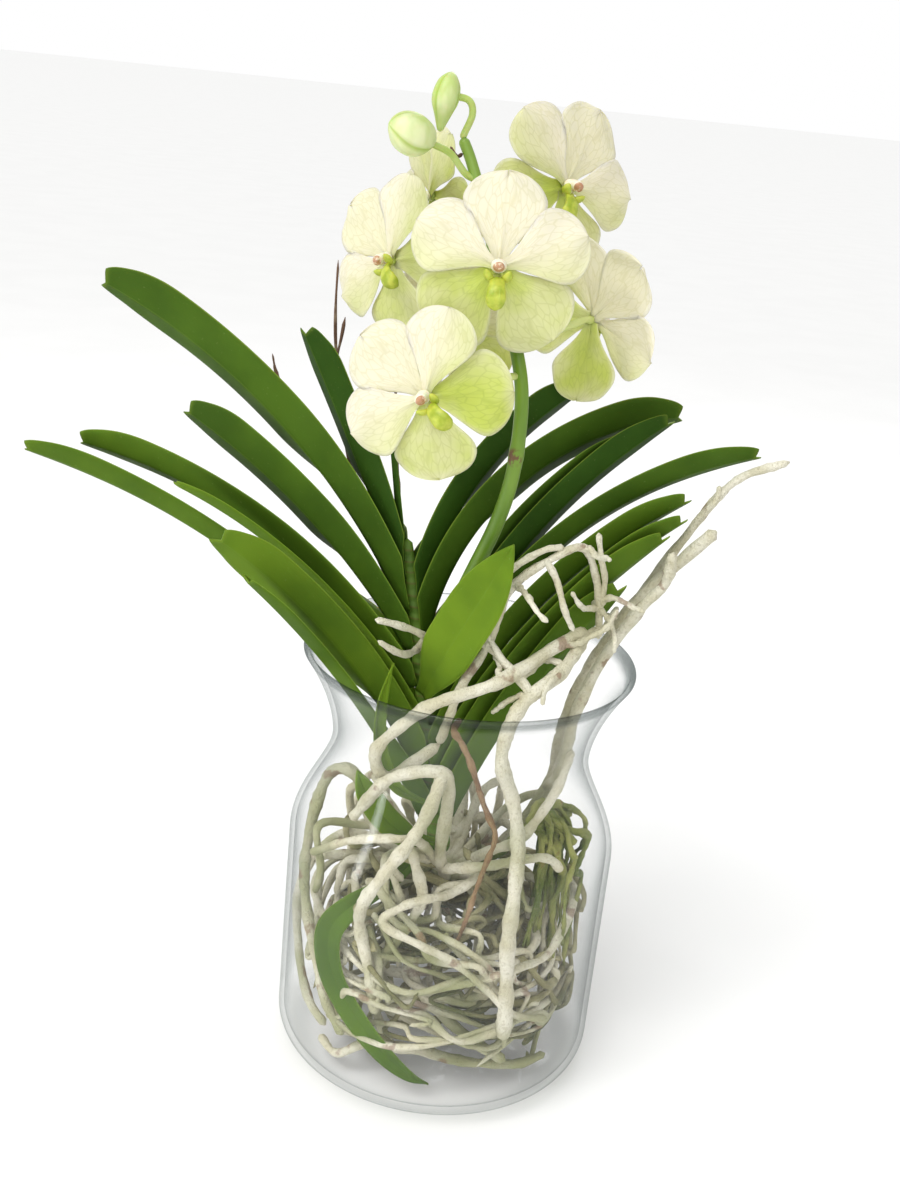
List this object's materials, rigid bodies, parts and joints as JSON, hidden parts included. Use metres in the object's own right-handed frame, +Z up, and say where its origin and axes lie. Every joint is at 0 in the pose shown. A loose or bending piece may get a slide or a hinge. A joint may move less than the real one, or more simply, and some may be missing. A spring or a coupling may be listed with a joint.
{
  "type": "vanda orchid in a glass vase",
  "caption": "Bare-rooted orchid with a fan of strap leaves and one spike of pale blooms, standing in a clear vase with a drawn-in neck.",
  "frame": {"origin": "centre of the vase foot, on the surface it stands on", "axes": "+Z up along the axis of the vase, -Y towards the open face of the leaf fan, X along the spread of the leaves"},
  "size_m": [0.3399, 0.151, 0.4404],
  "materials": {
    "vase_glass": "polished",
    "stem_green": "satin",
    "leaf_green": "satin",
    "petal_cream": "matte",
    "lip_green": "satin",
    "bud_green": "satin",
    "root_pale": "matte",
    "root_mossy": "matte",
    "root_brown": "matte",
    "dry_brown": "matte"
  },
  "bodies": {
    "root": {"vase": "vase_glass", "stem": "stem_green", "leaf_left_01": "leaf_green", "leaf_left_02": "leaf_green", "leaf_left_03": "leaf_green", "leaf_left_04": "leaf_green", "leaf_left_05": "leaf_green", "leaf_left_06": "leaf_green", "leaf_left_07": "leaf_green", "leaf_left_08": "leaf_green", "leaf_left_09": "leaf_green", "leaf_right_01": "leaf_green", "leaf_right_02": "leaf_green", "leaf_right_03": "leaf_green", "leaf_right_04": "leaf_green", "leaf_right_05": "leaf_green", "leaf_right_06": "leaf_green", "leaf_right_07": "leaf_green", "leaf_right_08": "leaf_green", "leaf_right_09": "leaf_green", "leaf_front": "leaf_green", "leaf_folded": "leaf_green", "leaf_inner": "leaf_green", "leaf_drooping": "leaf_green", "flower_spike": "stem_green", "bloom_1": "petal_cream", "bloom_2": "petal_cream", "bloom_3": "petal_cream", "bloom_4": "petal_cream", "bloom_5": "petal_cream", "bloom_6": "petal_cream", "bloom_7": "petal_cream", "lip_1": "lip_green", "lip_2": "lip_green", "lip_3": "lip_green", "lip_4": "lip_green", "lip_5": "lip_green", "lip_6": "lip_green", "lip_7": "lip_green", "bud_1": "bud_green", "bud_2": "bud_green", "bract_1": "dry_brown", "bract_2": "dry_brown", "roots_pale": "root_pale", "roots_small": "root_pale", "roots_mossy": "root_mossy", "root_brown": "root_brown", "dry_twig_1": "dry_brown", "dry_twig_2": "dry_brown", "dry_twig_3": "dry_brown"}
  },
  "joints": []
}
